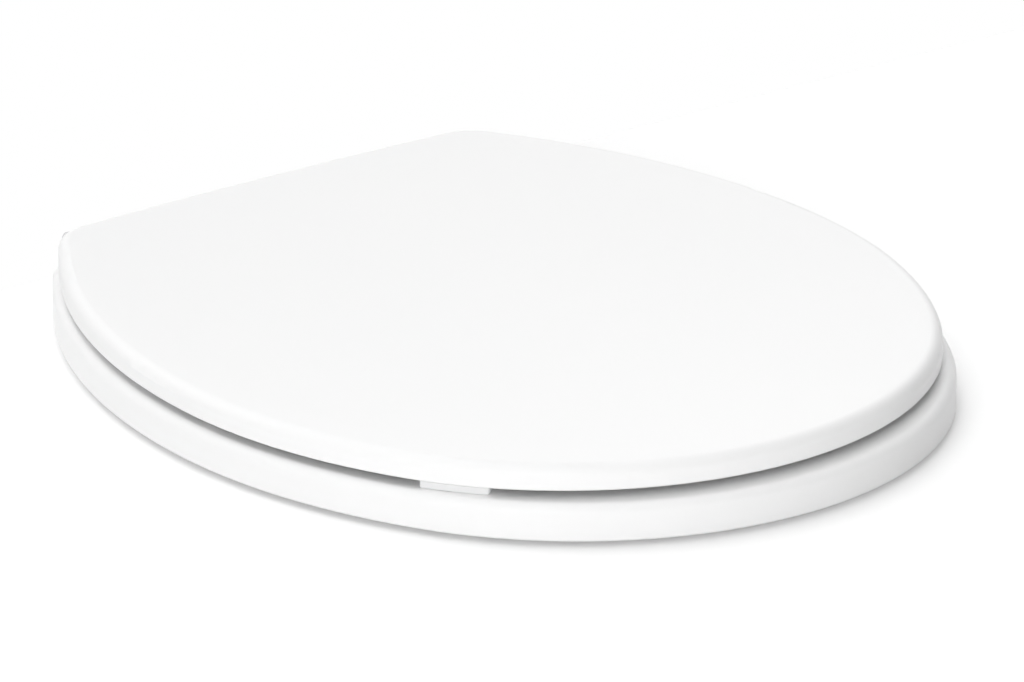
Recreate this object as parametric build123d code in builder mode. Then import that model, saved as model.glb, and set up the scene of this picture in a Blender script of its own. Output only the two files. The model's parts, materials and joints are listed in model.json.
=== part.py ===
import os
from math import asin, atan2, cos, degrees, radians, sin

from build123d import *

os.makedirs("parts", exist_ok=True)

# Toilet seat with a closed lid. The origin lies on top of the bowl rim, midway between the two
# fixing bolts. The front tip points along -Y, the hinges are at the back and +Z is up.

# Heights
RING_LIFT = 2.5
RING_HEIGHT = 17.6
LID_GAP = 3.5
LID_HEIGHT = 12.0

# Lid outline, seen from above
LID_BACK = 0.0
LID_LENGTH = 414.0
LID_WIDTH = 368.0
LID_WIDEST = 201.0
LID_CORNER_X = 102.5
LID_EDGE_ROUND = 5.5
LID_RIM_ROUND = 1.0
LID_WALL = 4.5
LID_PANEL = 4.0
LID_HOLLOW_ROUND = 2.5

# Ring outline: how far it stands out beyond the lid
RING_BACK_STEP = 1.0
RING_TIP_STEP = 10.6
RING_SIDE_STEP = 2.8
RING_EDGE_ROUND = 4.5
RING_FOOT_ROUND = 1.2
RING_WALL = 4.5
RING_PANEL = 4.5

# Shape shared by both outlines: where the tip arc hands over to the side, and the back
FRONT_JOIN = 30.0
BACK_BOW_RADIUS = 2350.0
BACK_CORNER = 24.0

# Aperture of the ring: the width of the band left round it, and its shape
RING_BAND_BACK = 97.0
RING_BAND_FRONT = 58.6
RING_BAND_SIDE = 78.8
HOLE_WIDEST = 118.0
HOLE_FRONT_JOIN = 32.0
HOLE_REAR_JOIN = 45.0
HOLE_EDGE_ROUND = 8.0

# Ribs under the ring
RIB_COUNT = 12
RIB_THICK = 3.0
RIB_RECESS = 3.0

# Buffers between lid and ring
LID_BUFFER_TURN = 37.4
LID_BUFFER_LENGTH = 33.0
LID_BUFFER_WIDTH = 11.0
LID_BUFFER_INSET = 0.5
LID_BUFFER_CORNER = 1.5
LID_BUFFER_ROUND = 0.8
LID_PEG_RADIUS = 2.5
LID_PEG_LENGTH = 4.5
LID_PEG_PITCH = 18.0

# Buffers under the ring
RING_BUFFER_FRONT_TURN = 45.0
RING_BUFFER_REAR_TURN = 25.0
RING_BUFFER_OFFSET = 34.0
RING_BUFFER_LENGTH = 38.0
RING_BUFFER_WIDTH = 13.0
RING_BUFFER_SUNK = 3.0
RING_BUFFER_ROUND = 1.0
BUFFER_LAND = 3.0
BUFFER_FIT = 0.1

# Fixing to the bowl
BOLT_PITCH = 155.0
BOLT_RADIUS = 4.0
BOLT_NECK_RADIUS = 4.7
BOLT_HEAD_RADIUS = 7.5
BOLT_SOCKET = 5.0
BOLT_SOCKET_DEPTH = 2.5
THREAD_RADIUS = 3.6
SHANK_LENGTH = 24.0
THREAD_LENGTH = 40.0
BOLT_CHAMFER = 1.0
NECK_FIT = 0.3
HEAD_FIT = 0.1
THREAD_FIT = 0.1

# Hinge bracket on the bowl
PAD_THICK = 2.0
FOOT_THICK = 5.0
FOOT_WIDTH = 34.0
FOOT_FRONT = 18.0
FOOT_BEHIND_PIN = 7.0
FOOT_CORNER = 6.0
FOOT_EDGE_ROUND = 1.0
PAD_INSET = 0.5
POST_WIDTH = 14.0
POST_BLEND = 3.0
FOOT_CLEAR = 2.0

# Hinge pin, bushes and leaves
PIN_BACK = 15.0
PIN_HEIGHT = 18.5
PIN_RADIUS = 3.0
PIN_TIGHT_FIT = 0.02
PIN_RUN_FIT = 0.05
PIN_OVERHANG = 1.0
PIN_CHAMFER = 0.5
BUSH_WALL = 1.0
BUSH_FLANGE = 0.8
BUSH_FLANGE_RIM = 1.0
KNUCKLE_RADIUS = 5.5
KNUCKLE_WIDTH = 12.0
KNUCKLE_GAP = 0.2
LEAF_THICK = 2.5
LEAF_WIDTH = 22.0
LEAF_REACH = 52.0
LEAF_ROOT = 12.0
LEAF_SET = 6.0
LEAF_CORNER = 5.0

# Leaf screws
SCREW_RADIUS = 2.0
SCREW_HEAD_RADIUS = 4.2
SCREW_HOLE_FIT = 0.3
SCREW_THREAD_FIT = 0.05
SCREW_PITCH = 14.0
SCREW_EDGE = 8.0
RING_SCREW_LENGTH = 13.0
LID_SCREW_LENGTH = 9.5
SCREW_BOSS = 5.5
SCREW_TIP = 1.0
SCREW_CROSS = 4.4
SCREW_CROSS_WIDTH = 1.0
SCREW_CROSS_DEPTH = 1.4

# Washers and wing nuts under the bowl
CONE_LENGTH = 9.0
CONE_TOP_RADIUS = 6.0
CONE_BASE_RADIUS = 8.5
CONE_RIM_RADIUS = 12.0
CONE_RIM_THICK = 4.0
FLAT_WASHER_RADIUS = 11.0
FLAT_WASHER_THICK = 2.0
NUT_HUB_RADIUS = 9.0
NUT_HEIGHT = 15.0
NUT_FLANGE_RADIUS = 12.0
NUT_FLANGE_THICK = 2.5
WING_SPAN = 44.0
WING_THICK = 5.0
WING_HEIGHT = 12.0
WING_SWEEP = 4.0
WING_ROUND = 4.0
NUT_HUB_TAPER = 1.0

# Levels that follow from the heights
RING_TOP = RING_LIFT + RING_HEIGHT
LID_BASE = RING_TOP + LID_GAP
LID_CEILING = LID_BASE + LID_HEIGHT - LID_PANEL
FOOT_TOP = PAD_THICK + FOOT_THICK

# Sizes that follow from the lid
RING_BACK = LID_BACK + RING_BACK_STEP
RING_LENGTH = LID_LENGTH + RING_BACK_STEP + RING_TIP_STEP
RING_WIDTH = LID_WIDTH + 2 * RING_SIDE_STEP
RING_WIDEST = LID_WIDEST + RING_BACK_STEP
RING_CORNER_X = LID_CORNER_X + RING_SIDE_STEP
HOLE_BACK = RING_BACK - RING_BAND_BACK
HOLE_LENGTH = RING_LENGTH - RING_BAND_BACK - RING_BAND_FRONT
HOLE_WIDTH = RING_WIDTH - 2 * RING_BAND_SIDE
HOLE_SIDE = HOLE_BACK - HOLE_WIDEST
RIB_CENTRE = HOLE_BACK - HOLE_LENGTH / 2

# Places of the fixing and hinge parts
BOLT_X = BOLT_PITCH / 2
RING_KNUCKLE_X = BOLT_X - POST_WIDTH / 2 - KNUCKLE_GAP - BUSH_FLANGE - KNUCKLE_WIDTH
LID_KNUCKLE_X = BOLT_X + POST_WIDTH / 2 + KNUCKLE_GAP + BUSH_FLANGE
RING_LEAF_X = RING_KNUCKLE_X + KNUCKLE_WIDTH / 2
LID_LEAF_X = LID_KNUCKLE_X + KNUCKLE_WIDTH / 2
LEAF_FRONT = LID_BACK - LEAF_REACH
LEAF_SHOULDER = LID_BACK - LEAF_ROOT
BUSH_RADIUS = PIN_RADIUS + PIN_RUN_FIT + BUSH_WALL
FOOT_REAR = PIN_BACK + FOOT_BEHIND_PIN
PIN_START = RING_KNUCKLE_X - PIN_OVERHANG
PIN_LENGTH = LID_KNUCKLE_X + KNUCKLE_WIDTH + PIN_OVERHANG - PIN_START
BOLT_END = -SHANK_LENGTH - THREAD_LENGTH
CONE_END = -SHANK_LENGTH - CONE_LENGTH
WASHER_TOP = CONE_END - CONE_RIM_THICK
NUT_TOP = WASHER_TOP - FLAT_WASHER_THICK


def oval_radii(half, run, join):
    """Radii of the arc across the centre line and of the side arc that meets it at the join angle."""
    rise = sin(radians(join))
    reach = cos(radians(join))
    end_radius = (half * rise - run * (1 - reach)) / (rise + reach - 1)
    side_radius = (run * reach - half * (1 - rise)) / (rise + reach - 1)
    return end_radius, side_radius


def seat_outline(back, length, width, widest, corner_x, inset=0):
    """Face of tangent arcs: egg-shaped front, slightly bowed back edge and rounded back corners."""
    half = width / 2
    side = back - widest
    tip_radius, side_radius = oval_radii(half, length - widest, FRONT_JOIN)
    bow_centre = back - BACK_BOW_RADIUS
    bow_turn = degrees(asin(corner_x / (BACK_BOW_RADIUS - BACK_CORNER)))
    corner_y = bow_centre + (BACK_BOW_RADIUS - BACK_CORNER) * cos(radians(bow_turn))
    in_x = half - corner_x
    in_y = corner_y - side
    rear_radius = (in_x**2 + in_y**2 - BACK_CORNER**2) / (2 * (in_x - BACK_CORNER))
    corner_join = degrees(atan2(in_y, rear_radius - in_x))
    with BuildSketch() as face:
        with BuildLine():
            CenterArc((half - side_radius, side), side_radius - inset, -FRONT_JOIN, FRONT_JOIN)
            CenterArc((half - rear_radius, side), rear_radius - inset, 0, corner_join)
            CenterArc((corner_x, corner_y), BACK_CORNER - inset, corner_join, 90 - bow_turn - corner_join)
            mirror(about=Plane.YZ)
            CenterArc((0, bow_centre), BACK_BOW_RADIUS - inset, 90 - bow_turn, 2 * bow_turn)
            CenterArc(
                (0, back - length + tip_radius),
                tip_radius - inset,
                FRONT_JOIN - 180,
                180 - 2 * FRONT_JOIN,
            )
        make_face()
    return face.sketch


def aperture_outline(outset=0):
    """Egg-shaped face of the ring's aperture, of tangent arcs."""
    half = HOLE_WIDTH / 2
    with BuildSketch() as face:
        with BuildLine():
            CenterArc((half - hole_front, HOLE_SIDE), hole_front + outset, -HOLE_FRONT_JOIN, HOLE_FRONT_JOIN)
            CenterArc((half - hole_rear, HOLE_SIDE), hole_rear + outset, 0, HOLE_REAR_JOIN)
            mirror(about=Plane.YZ)
            CenterArc(
                (0, hole_tip_y),
                hole_tip + outset,
                HOLE_FRONT_JOIN - 180,
                180 - 2 * HOLE_FRONT_JOIN,
            )
            CenterArc(
                (0, HOLE_BACK - hole_end),
                hole_end + outset,
                HOLE_REAR_JOIN,
                180 - 2 * HOLE_REAR_JOIN,
            )
        make_face()
    return face.sketch


def round_spot(centre, radius, turn):
    """Place on a circle at an angle from +X, turned along the circle."""
    x = centre[0] + radius * cos(radians(turn))
    y = centre[1] + radius * sin(radians(turn))
    return Location((x, y), turn + 90)


lid_sizes = (LID_BACK, LID_LENGTH, LID_WIDTH, LID_WIDEST, LID_CORNER_X)
ring_sizes = (RING_BACK, RING_LENGTH, RING_WIDTH, RING_WIDEST, RING_CORNER_X)

# Arcs of the aperture
hole_tip, hole_front = oval_radii(HOLE_WIDTH / 2, HOLE_LENGTH - HOLE_WIDEST, HOLE_FRONT_JOIN)
hole_end, hole_rear = oval_radii(HOLE_WIDTH / 2, HOLE_WIDEST, HOLE_REAR_JOIN)
hole_tip_y = HOLE_BACK - HOLE_LENGTH + hole_tip

# Buffer places, right side: along the lid's front edge, and a little way out from the aperture
lid_tip = oval_radii(LID_WIDTH / 2, LID_LENGTH - LID_WIDEST, FRONT_JOIN)[0]
lid_buffer_spot = round_spot(
    (0, LID_BACK - LID_LENGTH + lid_tip),
    lid_tip - LID_BUFFER_WIDTH / 2,
    -LID_BUFFER_TURN,
)
ring_buffer_spots = [
    round_spot((0, hole_tip_y), hole_tip + RING_BUFFER_OFFSET, -RING_BUFFER_FRONT_TURN),
    round_spot(
        (HOLE_WIDTH / 2 - hole_rear, HOLE_SIDE),
        hole_rear + RING_BUFFER_OFFSET,
        RING_BUFFER_REAR_TURN,
    ),
]

# Screw places under each leaf, right side
screw_rows = [LEAF_FRONT + SCREW_EDGE, LEAF_FRONT + SCREW_EDGE + SCREW_PITCH]
ring_screw_spots = [(RING_LEAF_X, y) for y in screw_rows]
lid_screw_spots = [(LID_LEAF_X, y) for y in screw_rows]

# Lid: moulded shell with a rounded edge, a hollow underside and lands for leaves and buffers
with BuildPart() as lid:
    with BuildSketch(Plane.XY.offset(LID_BASE)):
        add(seat_outline(*lid_sizes))
    extrude(amount=LID_HEIGHT)
    fillet(lid.faces().sort_by(Axis.Z)[-1].edges(), LID_EDGE_ROUND)
    fillet(lid.faces().sort_by(Axis.Z)[0].edges(), LID_RIM_ROUND)
    with BuildSketch(Plane.XY.offset(LID_BASE)):
        add(seat_outline(*lid_sizes, inset=LID_WALL))
    extrude(amount=LID_HEIGHT - LID_PANEL, mode=Mode.SUBTRACT)
    lid_ceiling = lid.faces().sort_by(lambda face: abs(face.center().Z - LID_CEILING))[0]
    fillet(lid_ceiling.edges(), LID_HOLLOW_ROUND)
    with BuildSketch(Plane.XY.offset(LID_BASE)):
        with Locations(lid_buffer_spot):
            Rectangle(LID_BUFFER_LENGTH + 2 * BUFFER_LAND, LID_BUFFER_WIDTH + 2 * BUFFER_LAND)
        with Locations((LID_LEAF_X, LEAF_FRONT - BUFFER_LAND)):
            Rectangle(LEAF_WIDTH + 2 * BUFFER_LAND, LEAF_REACH, align=(Align.CENTER, Align.MIN))
        mirror(about=Plane.YZ)
        add(seat_outline(*lid_sizes, inset=LID_WALL / 2), mode=Mode.INTERSECT)
    extrude(amount=LID_HEIGHT - LID_PANEL / 2)
    with BuildSketch(Plane.XY.offset(LID_BASE)):
        with Locations(lid_screw_spots):
            Circle(SCREW_RADIUS + SCREW_THREAD_FIT)
        mirror(about=Plane.YZ)
    extrude(amount=LID_SCREW_LENGTH - LEAF_THICK + SCREW_TIP, mode=Mode.SUBTRACT)
    with BuildSketch(Plane.XY.offset(LID_BASE)):
        with Locations(lid_buffer_spot):
            with GridLocations(LID_PEG_PITCH, 0, 2, 1):
                Circle(LID_PEG_RADIUS + BUFFER_FIT)
        mirror(about=Plane.YZ)
    extrude(amount=LID_PEG_LENGTH + BUFFER_FIT, mode=Mode.SUBTRACT)
lid.part.label = "lid"
export_step(lid.part, "parts/lid.step")

# Ring: moulded shell round the aperture, ribbed inside, with lands for the buffers, bosses for the
# leaf screws and two recesses that take the bracket feet
with BuildPart() as ring:
    with BuildSketch(Plane.XY.offset(RING_LIFT)):
        add(seat_outline(*ring_sizes))
        add(aperture_outline(), mode=Mode.SUBTRACT)
    extrude(amount=RING_HEIGHT)
    fillet(ring.faces().sort_by(Axis.Z)[-1].outer_wire().edges(), RING_EDGE_ROUND)
    fillet(ring.faces().sort_by(Axis.Z)[-1].inner_wires()[0].edges(), HOLE_EDGE_ROUND)
    fillet(ring.faces().sort_by(Axis.Z)[0].edges(), RING_FOOT_ROUND)
    with BuildSketch(Plane.XY.offset(RING_LIFT)):
        add(seat_outline(*ring_sizes, inset=RING_WALL))
        add(aperture_outline(RING_WALL), mode=Mode.SUBTRACT)
    extrude(amount=RING_HEIGHT - RING_PANEL, mode=Mode.SUBTRACT)
    with BuildSketch(Plane.XY.offset(RING_LIFT + RIB_RECESS)):
        with Locations((0, RIB_CENTRE)):
            with PolarLocations(RING_LENGTH / 2, RIB_COUNT):
                Rectangle(RING_LENGTH, RIB_THICK)
        with Locations(ring_screw_spots):
            Circle(SCREW_BOSS)
        with Locations([(-x, y) for x, y in ring_screw_spots]):
            Circle(SCREW_BOSS)
        add(seat_outline(*ring_sizes, inset=RING_WALL / 2), mode=Mode.INTERSECT)
        add(aperture_outline(RING_WALL / 2), mode=Mode.SUBTRACT)
    extrude(amount=RING_HEIGHT - RIB_RECESS - RING_PANEL / 2)
    with BuildSketch(Plane.XY.offset(RING_LIFT)):
        with Locations(ring_buffer_spots):
            Rectangle(RING_BUFFER_LENGTH + 2 * BUFFER_LAND, RING_BUFFER_WIDTH + 2 * BUFFER_LAND)
        mirror(about=Plane.YZ)
    extrude(amount=RING_HEIGHT - RING_PANEL / 2)
    with BuildSketch(Plane.XY.offset(RING_LIFT)):
        with Locations((BOLT_X, -FOOT_FRONT - FOOT_CLEAR), (-BOLT_X, -FOOT_FRONT - FOOT_CLEAR)):
            Rectangle(
                FOOT_WIDTH + 2 * FOOT_CLEAR,
                FOOT_FRONT + FOOT_REAR,
                align=(Align.CENTER, Align.MIN),
            )
    extrude(amount=FOOT_TOP + FOOT_CLEAR - RING_LIFT, mode=Mode.SUBTRACT)
    with BuildSketch(Plane.XY.offset(RING_TOP)):
        with Locations(ring_screw_spots):
            Circle(SCREW_RADIUS + SCREW_THREAD_FIT)
        mirror(about=Plane.YZ)
    extrude(amount=-(RING_SCREW_LENGTH - LEAF_THICK + SCREW_TIP), mode=Mode.SUBTRACT)
    with BuildSketch(Plane.XY.offset(RING_LIFT)):
        with Locations(ring_buffer_spots):
            Rectangle(RING_BUFFER_LENGTH + 2 * BUFFER_FIT, RING_BUFFER_WIDTH + 2 * BUFFER_FIT)
        mirror(about=Plane.YZ)
    extrude(amount=RING_BUFFER_SUNK, mode=Mode.SUBTRACT)
ring.part.label = "ring"
export_step(ring.part, "parts/ring.step")

# Lid buffers: blocks that follow the lid's edge, held by two pegs, resting on the ring
with BuildPart() as lid_buffer_right:
    with BuildSketch(Plane.XY.offset(RING_TOP)):
        with Locations(lid_buffer_spot):
            Rectangle(LID_BUFFER_LENGTH, LID_BUFFER_WIDTH)
        add(seat_outline(*lid_sizes, inset=LID_BUFFER_INSET), mode=Mode.INTERSECT)
    extrude(amount=LID_GAP)
    fillet(lid_buffer_right.edges().filter_by(Axis.Z), LID_BUFFER_CORNER)
    fillet(lid_buffer_right.faces().sort_by(Axis.Z)[0].edges(), LID_BUFFER_ROUND)
    with BuildSketch(Plane.XY.offset(LID_BASE)):
        with Locations(lid_buffer_spot):
            with GridLocations(LID_PEG_PITCH, 0, 2, 1):
                Circle(LID_PEG_RADIUS)
    extrude(amount=LID_PEG_LENGTH)
lid_buffer_right.part.label = "lid_buffer_right"
export_step(lid_buffer_right.part, "parts/lid_buffer_right.step")

with BuildPart() as lid_buffer_left:
    mirror(lid_buffer_right.part, about=Plane.YZ)
lid_buffer_left.part.label = "lid_buffer_left"
export_step(lid_buffer_left.part, "parts/lid_buffer_left.step")

# Ring buffers: blocks pressed into pockets under the ring, standing on the bowl rim
with BuildPart() as ring_buffer_front_right:
    with BuildSketch():
        with Locations(ring_buffer_spots[0]):
            Rectangle(RING_BUFFER_LENGTH, RING_BUFFER_WIDTH)
    extrude(amount=RING_LIFT + RING_BUFFER_SUNK)
    fillet(ring_buffer_front_right.faces().sort_by(Axis.Z)[0].edges(), RING_BUFFER_ROUND)
ring_buffer_front_right.part.label = "ring_buffer_front_right"
export_step(ring_buffer_front_right.part, "parts/ring_buffer_front_right.step")

with BuildPart() as ring_buffer_front_left:
    mirror(ring_buffer_front_right.part, about=Plane.YZ)
ring_buffer_front_left.part.label = "ring_buffer_front_left"
export_step(ring_buffer_front_left.part, "parts/ring_buffer_front_left.step")

with BuildPart() as ring_buffer_rear_right:
    with BuildSketch():
        with Locations(ring_buffer_spots[1]):
            Rectangle(RING_BUFFER_LENGTH, RING_BUFFER_WIDTH)
    extrude(amount=RING_LIFT + RING_BUFFER_SUNK)
    fillet(ring_buffer_rear_right.faces().sort_by(Axis.Z)[0].edges(), RING_BUFFER_ROUND)
ring_buffer_rear_right.part.label = "ring_buffer_rear_right"
export_step(ring_buffer_rear_right.part, "parts/ring_buffer_rear_right.step")

with BuildPart() as ring_buffer_rear_left:
    mirror(ring_buffer_rear_right.part, about=Plane.YZ)
ring_buffer_rear_left.part.label = "ring_buffer_rear_left"
export_step(ring_buffer_rear_left.part, "parts/ring_buffer_rear_left.step")

# Hinge brackets: foot plate on the bowl, with a round-topped post that holds the pin behind the seat
with BuildPart() as hinge_bracket_right:
    with BuildSketch(Plane.XY.offset(PAD_THICK)):
        with Locations((BOLT_X, (FOOT_REAR - FOOT_FRONT) / 2)):
            RectangleRounded(FOOT_WIDTH, FOOT_REAR + FOOT_FRONT, FOOT_CORNER)
    extrude(amount=FOOT_THICK)
    fillet(hinge_bracket_right.faces().sort_by(Axis.Z)[-1].edges(), FOOT_EDGE_ROUND)
    with BuildSketch(Plane.YZ.offset(BOLT_X - POST_WIDTH / 2)):
        with Locations((PIN_BACK, PIN_HEIGHT)):
            Circle(KNUCKLE_RADIUS)
            Rectangle(2 * KNUCKLE_RADIUS, PIN_HEIGHT - PAD_THICK, align=(Align.CENTER, Align.MAX))
    extrude(amount=POST_WIDTH)
    foot_face = hinge_bracket_right.faces().filter_by(Plane.XY).sort_by(Axis.Z)[-1]
    post_roots = foot_face.edges().filter_by(Axis.Y)
    fillet(post_roots.sort_by(lambda edge: abs(edge.center().X - BOLT_X))[:2], POST_BLEND)
    with BuildSketch(Plane.YZ.offset(BOLT_X - POST_WIDTH / 2)):
        with Locations((PIN_BACK, PIN_HEIGHT)):
            Circle(PIN_RADIUS + PIN_TIGHT_FIT)
    extrude(amount=POST_WIDTH, mode=Mode.SUBTRACT)
    with Locations((BOLT_X, 0, FOOT_TOP)):
        CounterSinkHole(BOLT_NECK_RADIUS + NECK_FIT, BOLT_HEAD_RADIUS + HEAD_FIT, FOOT_THICK, 90)
hinge_bracket_right.part.label = "hinge_bracket_right"
export_step(hinge_bracket_right.part, "parts/hinge_bracket_right.step")

with BuildPart() as hinge_bracket_left:
    mirror(hinge_bracket_right.part, about=Plane.YZ)
hinge_bracket_left.part.label = "hinge_bracket_left"
export_step(hinge_bracket_left.part, "parts/hinge_bracket_left.step")

# Foot pads between the brackets and the bowl
with BuildPart() as foot_pad_right:
    with BuildSketch():
        with Locations((BOLT_X, (FOOT_REAR - FOOT_FRONT) / 2)):
            RectangleRounded(
                FOOT_WIDTH - 2 * PAD_INSET,
                FOOT_REAR + FOOT_FRONT - 2 * PAD_INSET,
                FOOT_CORNER - PAD_INSET,
            )
        with Locations((BOLT_X, 0)):
            Circle(BOLT_NECK_RADIUS + NECK_FIT, mode=Mode.SUBTRACT)
    extrude(amount=PAD_THICK)
foot_pad_right.part.label = "foot_pad_right"
export_step(foot_pad_right.part, "parts/foot_pad_right.step")

with BuildPart() as foot_pad_left:
    mirror(foot_pad_right.part, about=Plane.YZ)
foot_pad_left.part.label = "foot_pad_left"
export_step(foot_pad_left.part, "parts/foot_pad_left.step")

# Hinge pins: held tight in the posts, with both knuckles turning on them
with BuildPart() as hinge_pin_right:
    with BuildSketch(Plane.YZ.offset(PIN_START)):
        with Locations((PIN_BACK, PIN_HEIGHT)):
            Circle(PIN_RADIUS)
    extrude(amount=PIN_LENGTH)
    chamfer(hinge_pin_right.edges().filter_by(GeomType.CIRCLE), PIN_CHAMFER)
hinge_pin_right.part.label = "hinge_pin_right"
export_step(hinge_pin_right.part, "parts/hinge_pin_right.step")

with BuildPart() as hinge_pin_left:
    mirror(hinge_pin_right.part, about=Plane.YZ)
hinge_pin_left.part.label = "hinge_pin_left"
export_step(hinge_pin_left.part, "parts/hinge_pin_left.step")

# Ring hinge leaves: plate on top of the ring with a knuckle round the pin
with BuildPart() as ring_hinge_right:
    with BuildSketch(Plane.YZ.offset(RING_KNUCKLE_X)):
        with Locations((PIN_BACK, PIN_HEIGHT)):
            Circle(KNUCKLE_RADIUS)
        with Locations((PIN_BACK, RING_TOP)):
            Rectangle(PIN_BACK - LEAF_SHOULDER, LEAF_THICK, align=(Align.MAX, Align.MIN))
    extrude(amount=KNUCKLE_WIDTH)
    with BuildSketch(Plane.XY.offset(RING_TOP)):
        with Locations((RING_LEAF_X, LEAF_FRONT)):
            Rectangle(LEAF_WIDTH, LEAF_REACH - LEAF_SET, align=(Align.CENTER, Align.MIN))
    extrude(amount=LEAF_THICK)
    fillet(ring_hinge_right.edges().filter_by(Axis.Z).group_by(Axis.Y)[0], LEAF_CORNER)
    with BuildSketch(Plane.YZ.offset(RING_KNUCKLE_X)):
        with Locations((PIN_BACK, PIN_HEIGHT)):
            Circle(BUSH_RADIUS + PIN_TIGHT_FIT)
    extrude(amount=KNUCKLE_WIDTH, mode=Mode.SUBTRACT)
    with Locations([(x, y, RING_TOP + LEAF_THICK) for x, y in ring_screw_spots]):
        CounterSinkHole(SCREW_RADIUS + SCREW_HOLE_FIT, SCREW_HEAD_RADIUS + HEAD_FIT, LEAF_THICK, 90)
ring_hinge_right.part.label = "ring_hinge_right"
export_step(ring_hinge_right.part, "parts/ring_hinge_right.step")

with BuildPart() as ring_hinge_left:
    mirror(ring_hinge_right.part, about=Plane.YZ)
ring_hinge_left.part.label = "ring_hinge_left"
export_step(ring_hinge_left.part, "parts/ring_hinge_left.step")

# Lid hinge leaves: plate under the lid with a knuckle round the pin
with BuildPart() as lid_hinge_right:
    with BuildSketch(Plane.YZ.offset(LID_KNUCKLE_X)):
        with Locations((PIN_BACK, PIN_HEIGHT)):
            Circle(KNUCKLE_RADIUS)
        with Locations((PIN_BACK, LID_BASE)):
            Rectangle(PIN_BACK - LEAF_SHOULDER, LEAF_THICK, align=(Align.MAX, Align.MAX))
    extrude(amount=KNUCKLE_WIDTH)
    with BuildSketch(Plane.XY.offset(LID_BASE - LEAF_THICK)):
        with Locations((LID_LEAF_X, LEAF_FRONT)):
            Rectangle(LEAF_WIDTH, LEAF_REACH - LEAF_SET, align=(Align.CENTER, Align.MIN))
    extrude(amount=LEAF_THICK)
    fillet(lid_hinge_right.edges().filter_by(Axis.Z).group_by(Axis.Y)[0], LEAF_CORNER)
    with BuildSketch(Plane.YZ.offset(LID_KNUCKLE_X)):
        with Locations((PIN_BACK, PIN_HEIGHT)):
            Circle(BUSH_RADIUS + PIN_TIGHT_FIT)
    extrude(amount=KNUCKLE_WIDTH, mode=Mode.SUBTRACT)
    with Locations([Plane((x, y, LID_BASE - LEAF_THICK), z_dir=(0, 0, -1)) for x, y in lid_screw_spots]):
        CounterSinkHole(SCREW_RADIUS + SCREW_HOLE_FIT, SCREW_HEAD_RADIUS + HEAD_FIT, LEAF_THICK, 90)
lid_hinge_right.part.label = "lid_hinge_right"
export_step(lid_hinge_right.part, "parts/lid_hinge_right.step")

with BuildPart() as lid_hinge_left:
    mirror(lid_hinge_right.part, about=Plane.YZ)
lid_hinge_left.part.label = "lid_hinge_left"
export_step(lid_hinge_left.part, "parts/lid_hinge_left.step")

# Bushes pressed into the knuckles, each with a thin flange against the post
with BuildPart() as ring_hinge_bushes:
    with BuildSketch(Plane.YZ.offset(RING_KNUCKLE_X)):
        with Locations((PIN_BACK, PIN_HEIGHT)):
            Circle(BUSH_RADIUS)
            Circle(PIN_RADIUS + PIN_RUN_FIT, mode=Mode.SUBTRACT)
    extrude(amount=KNUCKLE_WIDTH)
    with BuildSketch(Plane.YZ.offset(RING_KNUCKLE_X + KNUCKLE_WIDTH)):
        with Locations((PIN_BACK, PIN_HEIGHT)):
            Circle(BUSH_RADIUS + BUSH_FLANGE_RIM)
            Circle(PIN_RADIUS + PIN_RUN_FIT, mode=Mode.SUBTRACT)
    extrude(amount=BUSH_FLANGE)
    mirror(about=Plane.YZ)
ring_hinge_bushes.part.label = "ring_hinge_bushes"
export_step(ring_hinge_bushes.part, "parts/ring_hinge_bushes.step")

with BuildPart() as lid_hinge_bushes:
    with BuildSketch(Plane.YZ.offset(LID_KNUCKLE_X)):
        with Locations((PIN_BACK, PIN_HEIGHT)):
            Circle(BUSH_RADIUS)
            Circle(PIN_RADIUS + PIN_RUN_FIT, mode=Mode.SUBTRACT)
    extrude(amount=KNUCKLE_WIDTH)
    with BuildSketch(Plane.YZ.offset(LID_KNUCKLE_X)):
        with Locations((PIN_BACK, PIN_HEIGHT)):
            Circle(BUSH_RADIUS + BUSH_FLANGE_RIM)
            Circle(PIN_RADIUS + PIN_RUN_FIT, mode=Mode.SUBTRACT)
    extrude(amount=-BUSH_FLANGE)
    mirror(about=Plane.YZ)
lid_hinge_bushes.part.label = "lid_hinge_bushes"
export_step(lid_hinge_bushes.part, "parts/lid_hinge_bushes.step")

# Leaf screws: countersunk with a cross recess, down into the ring and up into the lid
with BuildPart() as ring_screw:
    with BuildSketch(Plane.XZ):
        with BuildLine():
            Polyline(
                (0, 0),
                (SCREW_HEAD_RADIUS, 0),
                (SCREW_RADIUS, SCREW_RADIUS - SCREW_HEAD_RADIUS),
                (SCREW_RADIUS, SCREW_RADIUS - RING_SCREW_LENGTH),
                (0, -RING_SCREW_LENGTH),
                close=True,
            )
        make_face()
    revolve(axis=Axis.Z)
    with BuildSketch():
        Rectangle(SCREW_CROSS, SCREW_CROSS_WIDTH)
        Rectangle(SCREW_CROSS_WIDTH, SCREW_CROSS)
    extrude(amount=-SCREW_CROSS_DEPTH, mode=Mode.SUBTRACT)

with BuildPart() as ring_hinge_screws:
    with Locations([(x, y, RING_TOP + LEAF_THICK) for x, y in ring_screw_spots]):
        add(ring_screw.part)
    mirror(about=Plane.YZ)
ring_hinge_screws.part.label = "ring_hinge_screws"
export_step(ring_hinge_screws.part, "parts/ring_hinge_screws.step")

with BuildPart() as lid_screw:
    with BuildSketch(Plane.XZ):
        with BuildLine():
            Polyline(
                (0, 0),
                (SCREW_HEAD_RADIUS, 0),
                (SCREW_RADIUS, SCREW_HEAD_RADIUS - SCREW_RADIUS),
                (SCREW_RADIUS, LID_SCREW_LENGTH - SCREW_RADIUS),
                (0, LID_SCREW_LENGTH),
                close=True,
            )
        make_face()
    revolve(axis=Axis.Z)
    with BuildSketch():
        Rectangle(SCREW_CROSS, SCREW_CROSS_WIDTH)
        Rectangle(SCREW_CROSS_WIDTH, SCREW_CROSS)
    extrude(amount=SCREW_CROSS_DEPTH, mode=Mode.SUBTRACT)

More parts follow.
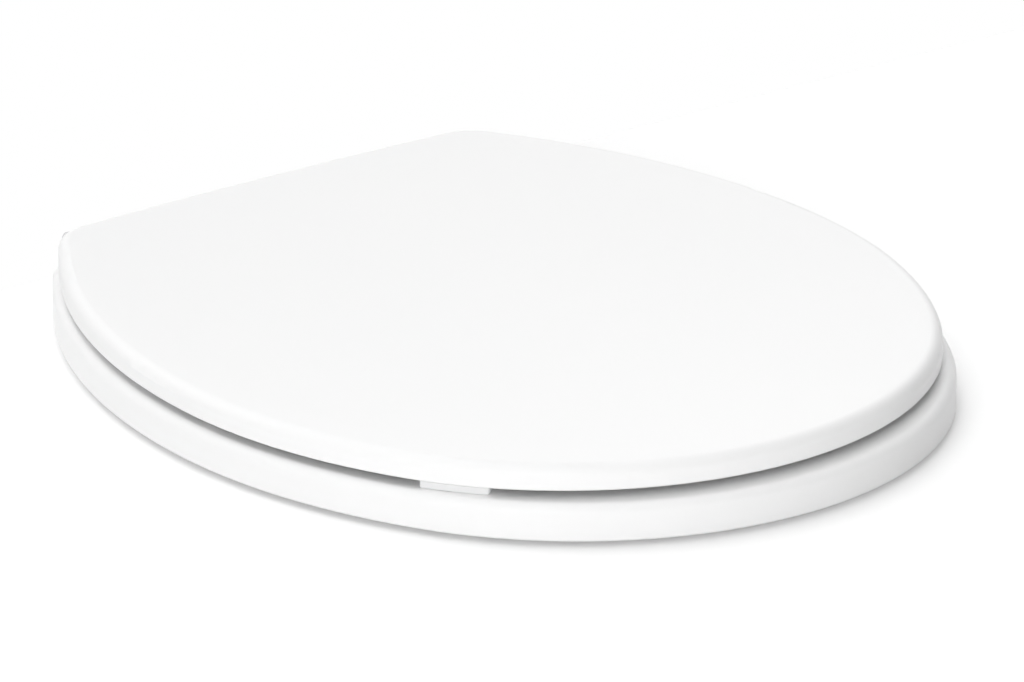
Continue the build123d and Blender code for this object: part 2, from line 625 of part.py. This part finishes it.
with BuildPart() as lid_hinge_screws:
    with Locations([(x, y, LID_BASE - LEAF_THICK) for x, y in lid_screw_spots]):
        add(lid_screw.part)
    mirror(about=Plane.YZ)
lid_hinge_screws.part.label = "lid_hinge_screws"
export_step(lid_hinge_screws.part, "parts/lid_hinge_screws.step")

# Fixing bolts: countersunk head flush in the foot, neck through the pad, plain shank through the bowl
with BuildPart() as bolt:
    with BuildSketch(Plane.XZ):
        with BuildLine():
            Polyline(
                (0, FOOT_TOP),
                (BOLT_HEAD_RADIUS, FOOT_TOP),
                (BOLT_NECK_RADIUS, FOOT_TOP - BOLT_HEAD_RADIUS + BOLT_NECK_RADIUS),
                (BOLT_NECK_RADIUS, 0),
                (BOLT_RADIUS, 0),
                (BOLT_RADIUS, -SHANK_LENGTH),
                (THREAD_RADIUS, -SHANK_LENGTH),
                (THREAD_RADIUS, BOLT_END + BOLT_CHAMFER),
                (THREAD_RADIUS - BOLT_CHAMFER, BOLT_END),
                (0, BOLT_END),
                close=True,
            )
        make_face()
    revolve(axis=Axis.Z)
    with BuildSketch(Plane.XY.offset(FOOT_TOP)):
        RegularPolygon(BOLT_SOCKET / 2, 6, major_radius=False)
    extrude(amount=-BOLT_SOCKET_DEPTH, mode=Mode.SUBTRACT)

with BuildPart() as fixing_bolts:
    with Locations((BOLT_X, 0, 0), (-BOLT_X, 0, 0)):
        add(bolt.part)
fixing_bolts.part.label = "fixing_bolts"
export_step(fixing_bolts.part, "parts/fixing_bolts.step")

# Cone washers that centre the bolts in the bowl from below
with BuildPart() as cone_washer:
    with BuildSketch(Plane.XZ):
        with BuildLine():
            Polyline(
                (THREAD_RADIUS + THREAD_FIT, -SHANK_LENGTH),
                (CONE_TOP_RADIUS, -SHANK_LENGTH),
                (CONE_BASE_RADIUS, CONE_END),
                (CONE_RIM_RADIUS, CONE_END),
                (CONE_RIM_RADIUS, WASHER_TOP),
                (THREAD_RADIUS + THREAD_FIT, WASHER_TOP),
                close=True,
            )
        make_face()
    revolve(axis=Axis.Z)

with BuildPart() as cone_washers:
    with Locations((BOLT_X, 0, 0), (-BOLT_X, 0, 0)):
        add(cone_washer.part)
cone_washers.part.label = "cone_washers"
export_step(cone_washers.part, "parts/cone_washers.step")

# Flat washers
with BuildPart() as flat_washers:
    with BuildSketch(Plane.XY.offset(NUT_TOP)):
        with Locations((BOLT_X, 0), (-BOLT_X, 0)):
            Circle(FLAT_WASHER_RADIUS)
            Circle(THREAD_RADIUS + THREAD_FIT, mode=Mode.SUBTRACT)
    extrude(amount=FLAT_WASHER_THICK)
flat_washers.part.label = "flat_washers"
export_step(flat_washers.part, "parts/flat_washers.step")

# Wing nuts: flanged hub with two upswept wings
with BuildPart() as wing_nut:
    with BuildSketch(Plane.XZ):
        with BuildLine():
            Polyline(
                (0, 0),
                (NUT_FLANGE_RADIUS, 0),
                (NUT_FLANGE_RADIUS, -NUT_FLANGE_THICK),
                (NUT_HUB_RADIUS, -NUT_FLANGE_THICK),
                (NUT_HUB_RADIUS - NUT_HUB_TAPER, -NUT_HEIGHT),
                (0, -NUT_HEIGHT),
                close=True,
            )
        make_face()
    revolve(axis=Axis.Z)
    with BuildSketch(Plane.XZ.offset(-WING_THICK / 2)) as wings:
        with BuildLine():
            Polyline(
                (0, -NUT_FLANGE_THICK),
                (NUT_HUB_RADIUS, -NUT_FLANGE_THICK),
                (WING_SPAN / 2, -NUT_HEIGHT + WING_HEIGHT - WING_SWEEP),
                (WING_SPAN / 2, -NUT_HEIGHT - WING_SWEEP),
                (NUT_HUB_RADIUS - NUT_HUB_TAPER, -NUT_HEIGHT),
                (0, -NUT_HEIGHT),
                close=True,
            )
        make_face()
        fillet(wings.vertices().group_by(Axis.X)[-1], WING_ROUND)
        mirror(about=Plane.YZ)
    extrude(amount=WING_THICK)
    with BuildSketch():
        Circle(THREAD_RADIUS + THREAD_FIT)
    extrude(amount=-NUT_HEIGHT, mode=Mode.SUBTRACT)

with BuildPart() as wing_nuts:
    with Locations((BOLT_X, 0, NUT_TOP), (-BOLT_X, 0, NUT_TOP)):
        add(wing_nut.part)
wing_nuts.part.label = "wing_nuts"
export_step(wing_nuts.part, "parts/wing_nuts.step")
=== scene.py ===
import json
from math import cos, pi, radians, sin

import bpy
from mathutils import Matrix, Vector


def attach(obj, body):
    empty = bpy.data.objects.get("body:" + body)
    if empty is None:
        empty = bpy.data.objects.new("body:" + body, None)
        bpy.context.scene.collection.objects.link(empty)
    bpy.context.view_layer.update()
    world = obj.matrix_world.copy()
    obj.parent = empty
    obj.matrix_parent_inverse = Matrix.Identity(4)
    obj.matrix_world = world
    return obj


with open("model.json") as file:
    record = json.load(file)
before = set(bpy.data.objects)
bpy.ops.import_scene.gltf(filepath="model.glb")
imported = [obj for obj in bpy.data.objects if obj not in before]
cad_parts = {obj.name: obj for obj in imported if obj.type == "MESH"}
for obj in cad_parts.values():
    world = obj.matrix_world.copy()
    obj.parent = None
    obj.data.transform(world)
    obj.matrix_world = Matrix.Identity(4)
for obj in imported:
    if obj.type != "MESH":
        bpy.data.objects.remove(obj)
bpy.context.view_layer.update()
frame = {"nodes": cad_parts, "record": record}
nodes = frame["nodes"]
scene = bpy.context.scene
scene.view_settings.view_transform = "Standard"

# Range of a noise's values that a tone or roughness is spread over
NOISE_LOW = 0.3
NOISE_HIGH = 0.7


# Node helpers
def add(tree, kind, **settings):
    node = tree.nodes.new(kind)
    for key, value in settings.items():
        setattr(node, key, value)
    return node


def new_material(name):
    material = bpy.data.materials.new(name)
    material.use_nodes = True
    tree = material.node_tree
    place = add(tree, "ShaderNodeTexCoord").outputs["Object"]
    return material, tree, tree.nodes["Principled BSDF"], place


def noise(tree, place, scale, detail=2.0, roughness=0.5):
    node = add(tree, "ShaderNodeTexNoise")
    node.inputs["Scale"].default_value = scale
    node.inputs["Detail"].default_value = detail
    node.inputs["Roughness"].default_value = roughness
    tree.links.new(place, node.inputs["Vector"])
    return node.outputs["Fac"]


def stretched(tree, place, scale):
    node = add(tree, "ShaderNodeMapping")
    node.inputs["Scale"].default_value = scale
    tree.links.new(place, node.inputs["Vector"])
    return node.outputs["Vector"]


def spread(tree, value, low, high):
    node = add(tree, "ShaderNodeMapRange")
    node.inputs["From Min"].default_value = NOISE_LOW
    node.inputs["From Max"].default_value = NOISE_HIGH
    node.inputs["To Min"].default_value = low
    node.inputs["To Max"].default_value = high
    tree.links.new(value, node.inputs["Value"])
    return node.outputs["Result"]


def tint(tree, value, first, second):
    node = add(tree, "ShaderNodeValToRGB")
    node.color_ramp.elements[0].position = NOISE_LOW
    node.color_ramp.elements[1].position = NOISE_HIGH
    node.color_ramp.elements[0].color = (*first, 1)
    node.color_ramp.elements[1].color = (*second, 1)
    tree.links.new(value, node.inputs["Fac"])
    return node.outputs["Color"]


def bump(tree, value, depth, strength, before=None):
    node = add(tree, "ShaderNodeBump")
    node.inputs["Distance"].default_value = depth
    node.inputs["Strength"].default_value = strength
    tree.links.new(value, node.inputs["Height"])
    if before is not None:
        tree.links.new(before, node.inputs["Normal"])
    return node.outputs["Normal"]


# Gloss white moulding: faint tone drift, a polish that varies a little, and very shallow mould ripple
def moulding_material():
    material, tree, shader, place = new_material("white_moulding")
    tone = noise(tree, place, 9.0, 3.0)
    polish = noise(tree, place, 12.0, 1.0)
    ripple = noise(tree, place, 75.0, 1.0)
    grain = noise(tree, place, 900.0, 2.0)
    color = tint(tree, tone, (0.925, 0.926, 0.926), (0.931, 0.931, 0.930))
    surface = bump(tree, ripple, 0.00003, 0.03)
    surface = bump(tree, grain, 0.000002, 0.02, surface)
    tree.links.new(color, shader.inputs["Base Color"])
    tree.links.new(spread(tree, polish, 0.33, 0.36), shader.inputs["Roughness"])
    tree.links.new(surface, shader.inputs["Normal"])
    shader.inputs["IOR"].default_value = 1.49
    return material


# Soft buffer: pale matt plastic with a fine spark-eroded grain
def buffer_material():
    material, tree, shader, place = new_material("soft_buffer")
    tone = noise(tree, place, 60.0, 3.0)
    grain = noise(tree, place, 1800.0, 2.0, 0.6)
    color = tint(tree, tone, (0.78, 0.785, 0.79), (0.84, 0.84, 0.84))
    tree.links.new(color, shader.inputs["Base Color"])
    tree.links.new(spread(tree, grain, 0.50, 0.68), shader.inputs["Roughness"])
    tree.links.new(bump(tree, grain, 0.00004, 0.35), shader.inputs["Normal"])
    shader.inputs["IOR"].default_value = 1.45
    return material


# Stainless steel: brushed along X, with streaks in its tone and clouds in its roughness
def steel_material():
    material, tree, shader, place = new_material("hinge_metal")
    streaks = noise(tree, stretched(tree, place, (60.0, 2600.0, 2600.0)), 1.0, 3.0, 0.6)
    clouds = noise(tree, place, 70.0, 3.0)
    color = tint(tree, streaks, (0.66, 0.66, 0.665), (0.78, 0.78, 0.785))
    tree.links.new(color, shader.inputs["Base Color"])
    tree.links.new(spread(tree, clouds, 0.24, 0.38), shader.inputs["Roughness"])
    tree.links.new(bump(tree, streaks, 0.00002, 0.30), shader.inputs["Normal"])
    shader.inputs["Metallic"].default_value = 1.0
    shader.inputs["Anisotropic"].default_value = 0.4
    return material


# Satin white plastic of the bushes, flat washers and nuts
def satin_material():
    material, tree, shader, place = new_material("bush_plastic")
    tone = noise(tree, place, 50.0, 3.0)
    grain = noise(tree, place, 1200.0, 2.0, 0.6)
    color = tint(tree, tone, (0.84, 0.84, 0.825), (0.89, 0.89, 0.88))
    tree.links.new(color, shader.inputs["Base Color"])
    tree.links.new(spread(tree, grain, 0.38, 0.50), shader.inputs["Roughness"])
    tree.links.new(bump(tree, grain, 0.00003, 0.25), shader.inputs["Normal"])
    shader.inputs["IOR"].default_value = 1.47
    return material


materials = {
    "white_moulding": moulding_material(),
    "soft_buffer": buffer_material(),
    "hinge_metal": steel_material(),
    "bush_plastic": satin_material(),
}
for part in frame["record"]["subparts"]:
    node = nodes[part["node"]]
    node.data.materials.clear()
    node.data.materials.append(materials[part["material_slot"]])


# Rolled thread on the free end of each fixing bolt, below the wing nut
BOLT_X = 0.0775
THREAD_TOP = -0.0543
THREAD_END = -0.0631
THREAD_ROOT = 0.0035
THREAD_CREST = 0.0040
THREAD_PITCH = 0.00125
THREAD_STEPS = 40  # to a turn
ROOT_HALF = 0.46  # half the ridge's width at its root and at its crest, in pitches
CREST_HALF = 0.08


def thread_piece(name, x):
    steps = round((THREAD_TOP - THREAD_END) / THREAD_PITCH * THREAD_STEPS)
    profile = [(0, ROOT_HALF), (1, CREST_HALF), (1, -CREST_HALF), (0, -ROOT_HALF)]
    points = []
    for step in range(steps + 1):
        turn = 2 * pi * step / THREAD_STEPS
        middle = THREAD_TOP - THREAD_PITCH * step / THREAD_STEPS
        # the ridge rises and runs out over half a turn at each end
        growth = min(1, 2 * step / THREAD_STEPS, 2 * (steps - step) / THREAD_STEPS)
        for rise, along in profile:
            radius = THREAD_ROOT + rise * growth * (THREAD_CREST - THREAD_ROOT)
            points.append((x + radius * cos(turn), radius * sin(turn), middle + along * THREAD_PITCH))
    size = len(profile)
    faces = [tuple(range(size)), tuple(range(steps * size, steps * size + size))[::-1]]
    for first in range(0, steps * size, size):
        for side in range(size):
            after = (side + 1) % size
            faces.append((first + side, first + size + side, first + size + after, first + after))
    mesh = bpy.data.meshes.new(name)
    mesh.from_pydata(points, [], faces)
    mesh.materials.append(materials["hinge_metal"])
    piece = bpy.data.objects.new(name, mesh)
    scene.collection.objects.link(piece)
    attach(piece, "mount")


thread_piece("bolt_thread_left", -BOLT_X)
thread_piece("bolt_thread_right", BOLT_X)


# Floor: white to the eye where it is fully lit, with the seat's own shadow on it, and clear from below.
# It ends just behind the brackets, because the lid hangs down past it at the joints' upper limits.
FLOOR_REACH = 6.0
FLOOR_BACK = 0.023
FLOOR_TONE = 0.85
FLOOR_GLOW = 0.255


def seen_directly(tree):
    path = add(tree, "ShaderNodeLightPath")
    total = path.outputs["Is Camera Ray"]
    for name in ("Is Glossy Ray", "Is Transmission Ray"):
        either = add(tree, "ShaderNodeMath", operation="MAXIMUM")
        tree.links.new(total, either.inputs[0])
        tree.links.new(path.outputs[name], either.inputs[1])
        total = either.outputs[0]
    return total


def floor_material():
    material = bpy.data.materials.new("floor_white")
    material.use_nodes = True
    tree = material.node_tree
    tree.nodes.clear()
    diffuse = add(tree, "ShaderNodeBsdfDiffuse")
    diffuse.inputs["Color"].default_value = (FLOOR_TONE, FLOOR_TONE, FLOOR_TONE, 1)
    glow = add(tree, "ShaderNodeEmission")
    strength = add(tree, "ShaderNodeMath", operation="MULTIPLY")
    tree.links.new(seen_directly(tree), strength.inputs[0])
    strength.inputs[1].default_value = FLOOR_GLOW
    tree.links.new(strength.outputs[0], glow.inputs["Strength"])
    both = add(tree, "ShaderNodeAddShader")
    tree.links.new(diffuse.outputs[0], both.inputs[0])
    tree.links.new(glow.outputs[0], both.inputs[1])
    clear = add(tree, "ShaderNodeBsdfTransparent")
    side = add(tree, "ShaderNodeNewGeometry")
    choice = add(tree, "ShaderNodeMixShader")
    tree.links.new(side.outputs["Backfacing"], choice.inputs["Fac"])
    tree.links.new(both.outputs[0], choice.inputs[1])
    tree.links.new(clear.outputs[0], choice.inputs[2])
    out = add(tree, "ShaderNodeOutputMaterial")
    tree.links.new(choice.outputs[0], out.inputs["Surface"])
    return material


floor_mesh = bpy.data.meshes.new("floor")
floor_mesh.from_pydata(
    [
        (-FLOOR_REACH, -FLOOR_REACH, 0),
        (FLOOR_REACH, -FLOOR_REACH, 0),
        (FLOOR_REACH, FLOOR_BACK, 0),
        (-FLOOR_REACH, FLOOR_BACK, 0),
    ],
    [],
    [(0, 1, 2, 3)],
)
floor = bpy.data.objects.new("floor", floor_mesh)
floor.data.materials.append(floor_material())
scene.collection.objects.link(floor)

# World: white behind the object, a soft even fill on it
ROOM_FILL = 0.12
world = bpy.data.worlds.new("studio")
scene.world = world
world.use_nodes = True
tree = world.node_tree
tree.nodes.clear()
fill = add(tree, "ShaderNodeBackground")
fill.inputs["Color"].default_value = (1, 1, 1, 1)
fill.inputs["Strength"].default_value = ROOM_FILL
white = add(tree, "ShaderNodeBackground")
white.inputs["Color"].default_value = (1, 1, 1, 1)
white.inputs["Strength"].default_value = 1.0
choice = add(tree, "ShaderNodeMixShader")
tree.links.new(seen_directly(tree), choice.inputs["Fac"])
tree.links.new(fill.outputs[0], choice.inputs[1])
tree.links.new(white.outputs[0], choice.inputs[2])
out = add(tree, "ShaderNodeOutputWorld")
tree.links.new(choice.outputs[0], out.inputs["Surface"])


# Lamps, hidden from gloss, which mirrors only the white room
def soft_lamp(name, kind, toward, strength):
    lamp = bpy.data.lights.new(name, kind)
    lamp.energy = strength
    obj = bpy.data.objects.new(name, lamp)
    obj.rotation_euler = Vector(toward).to_track_quat("Z", "Y").to_euler()
    obj.visible_glossy = False
    scene.collection.objects.link(obj)
    return obj


# Broad suns: two from above and behind, and a low one from the front left
for name, toward, degrees_wide, strength in (
    ("top_left", (-0.18, 0.45, 0.87), 75, 0.90),
    ("back_right", (0.25, 0.70, 0.67), 75, 1.75),
    ("front_left", (-0.72, -0.66, 0.20), 40, 2.03),
):
    soft_lamp(name, "SUN", toward, strength).data.angle = radians(degrees_wide)

# Round panel close above the front, which makes the lid a little lighter there
PANEL_PLACE = Vector((-0.15, -0.75, 0.80))
PANEL_AIM = Vector((0.0, -0.42, 0.03))
panel = soft_lamp("front_panel", "AREA", PANEL_PLACE - PANEL_AIM, 1.15)
panel.location = PANEL_PLACE
panel.data.shape = "DISK"
panel.data.size = 0.6
panel.visible_camera = False

# Camera at the photograph's place, far off with a long lens
AZIMUTH = radians(-35.93)
ELEVATION = radians(21.30)
DISTANCE = 9.0
FOCUS = Vector((-0.01156, -0.21677, 0.0236))
toward = Vector((sin(AZIMUTH) * cos(ELEVATION), -cos(AZIMUTH) * cos(ELEVATION), sin(ELEVATION)))
camera_data = bpy.data.cameras.new("camera")
camera_data.sensor_fit = "HORIZONTAL"
camera_data.sensor_width = 36.0
camera_data.lens = 692.2
camera_data.clip_end = 50.0
camera = bpy.data.objects.new("camera", camera_data)
camera.location = FOCUS + toward * DISTANCE
camera.rotation_euler = (-toward).to_track_quat("-Z", "Y").to_euler()
scene.collection.objects.link(camera)
scene.camera = camera
